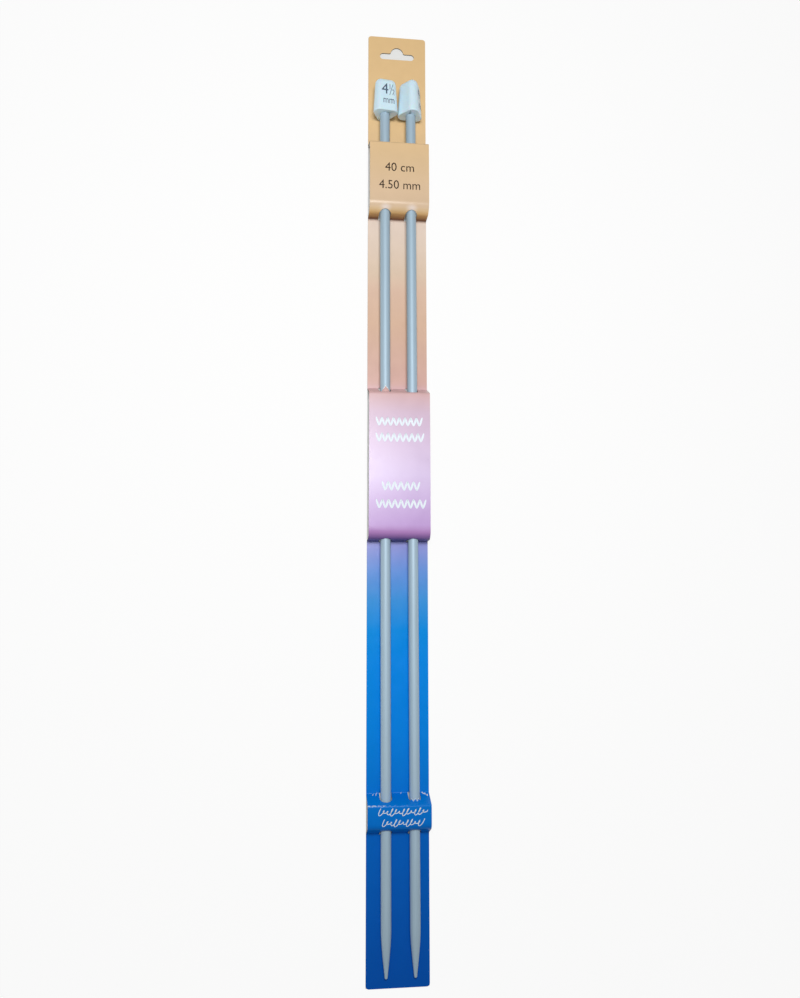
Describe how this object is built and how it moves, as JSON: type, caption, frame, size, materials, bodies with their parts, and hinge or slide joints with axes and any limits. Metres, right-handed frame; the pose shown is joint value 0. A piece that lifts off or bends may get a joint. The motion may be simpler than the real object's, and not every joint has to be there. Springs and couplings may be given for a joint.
{
  "type": "knitting needles",
  "caption": "Pair of single-pointed knitting needles with three-sided heads, threaded through the raised bands of a long folded hang card with a hang slot.",
  "frame": {"origin": "middle of the card's length and width, at the card's back face, on which it lies", "axes": "+Y along the card towards its hang slot, +X to the right of the printed face, +Z out of the printed face"},
  "size_m": [0.0274, 0.432, 0.013],
  "materials": {
    "printed_card": "coated paperboard printed with a tan to pink to blue blend, satin, raw white edges",
    "coated_aluminium": "satin pale grey-blue coating",
    "white_plastic": "moulded white plastic, soft gloss"
  },
  "bodies": {
    "card": {"display_card": "printed_card"},
    "left_needle": {"left_needle_shaft": "coated_aluminium", "left_needle_head": "white_plastic"},
    "right_needle": {"right_needle_shaft": "coated_aluminium", "right_needle_head": "white_plastic"}
  },
  "joints": [
    {"name": "left_needle_slide", "type": "slide", "parent": "card", "child": "left_needle", "axis": [-0.0032, 0.9999, 0.0108], "range_m": [-0.0124, 0.43]},
    {"name": "right_needle_slide", "type": "slide", "parent": "card", "child": "right_needle", "axis": [-0.0043, 0.9999, 0.0108], "range_m": [-0.0124, 0.43]}
  ]
}
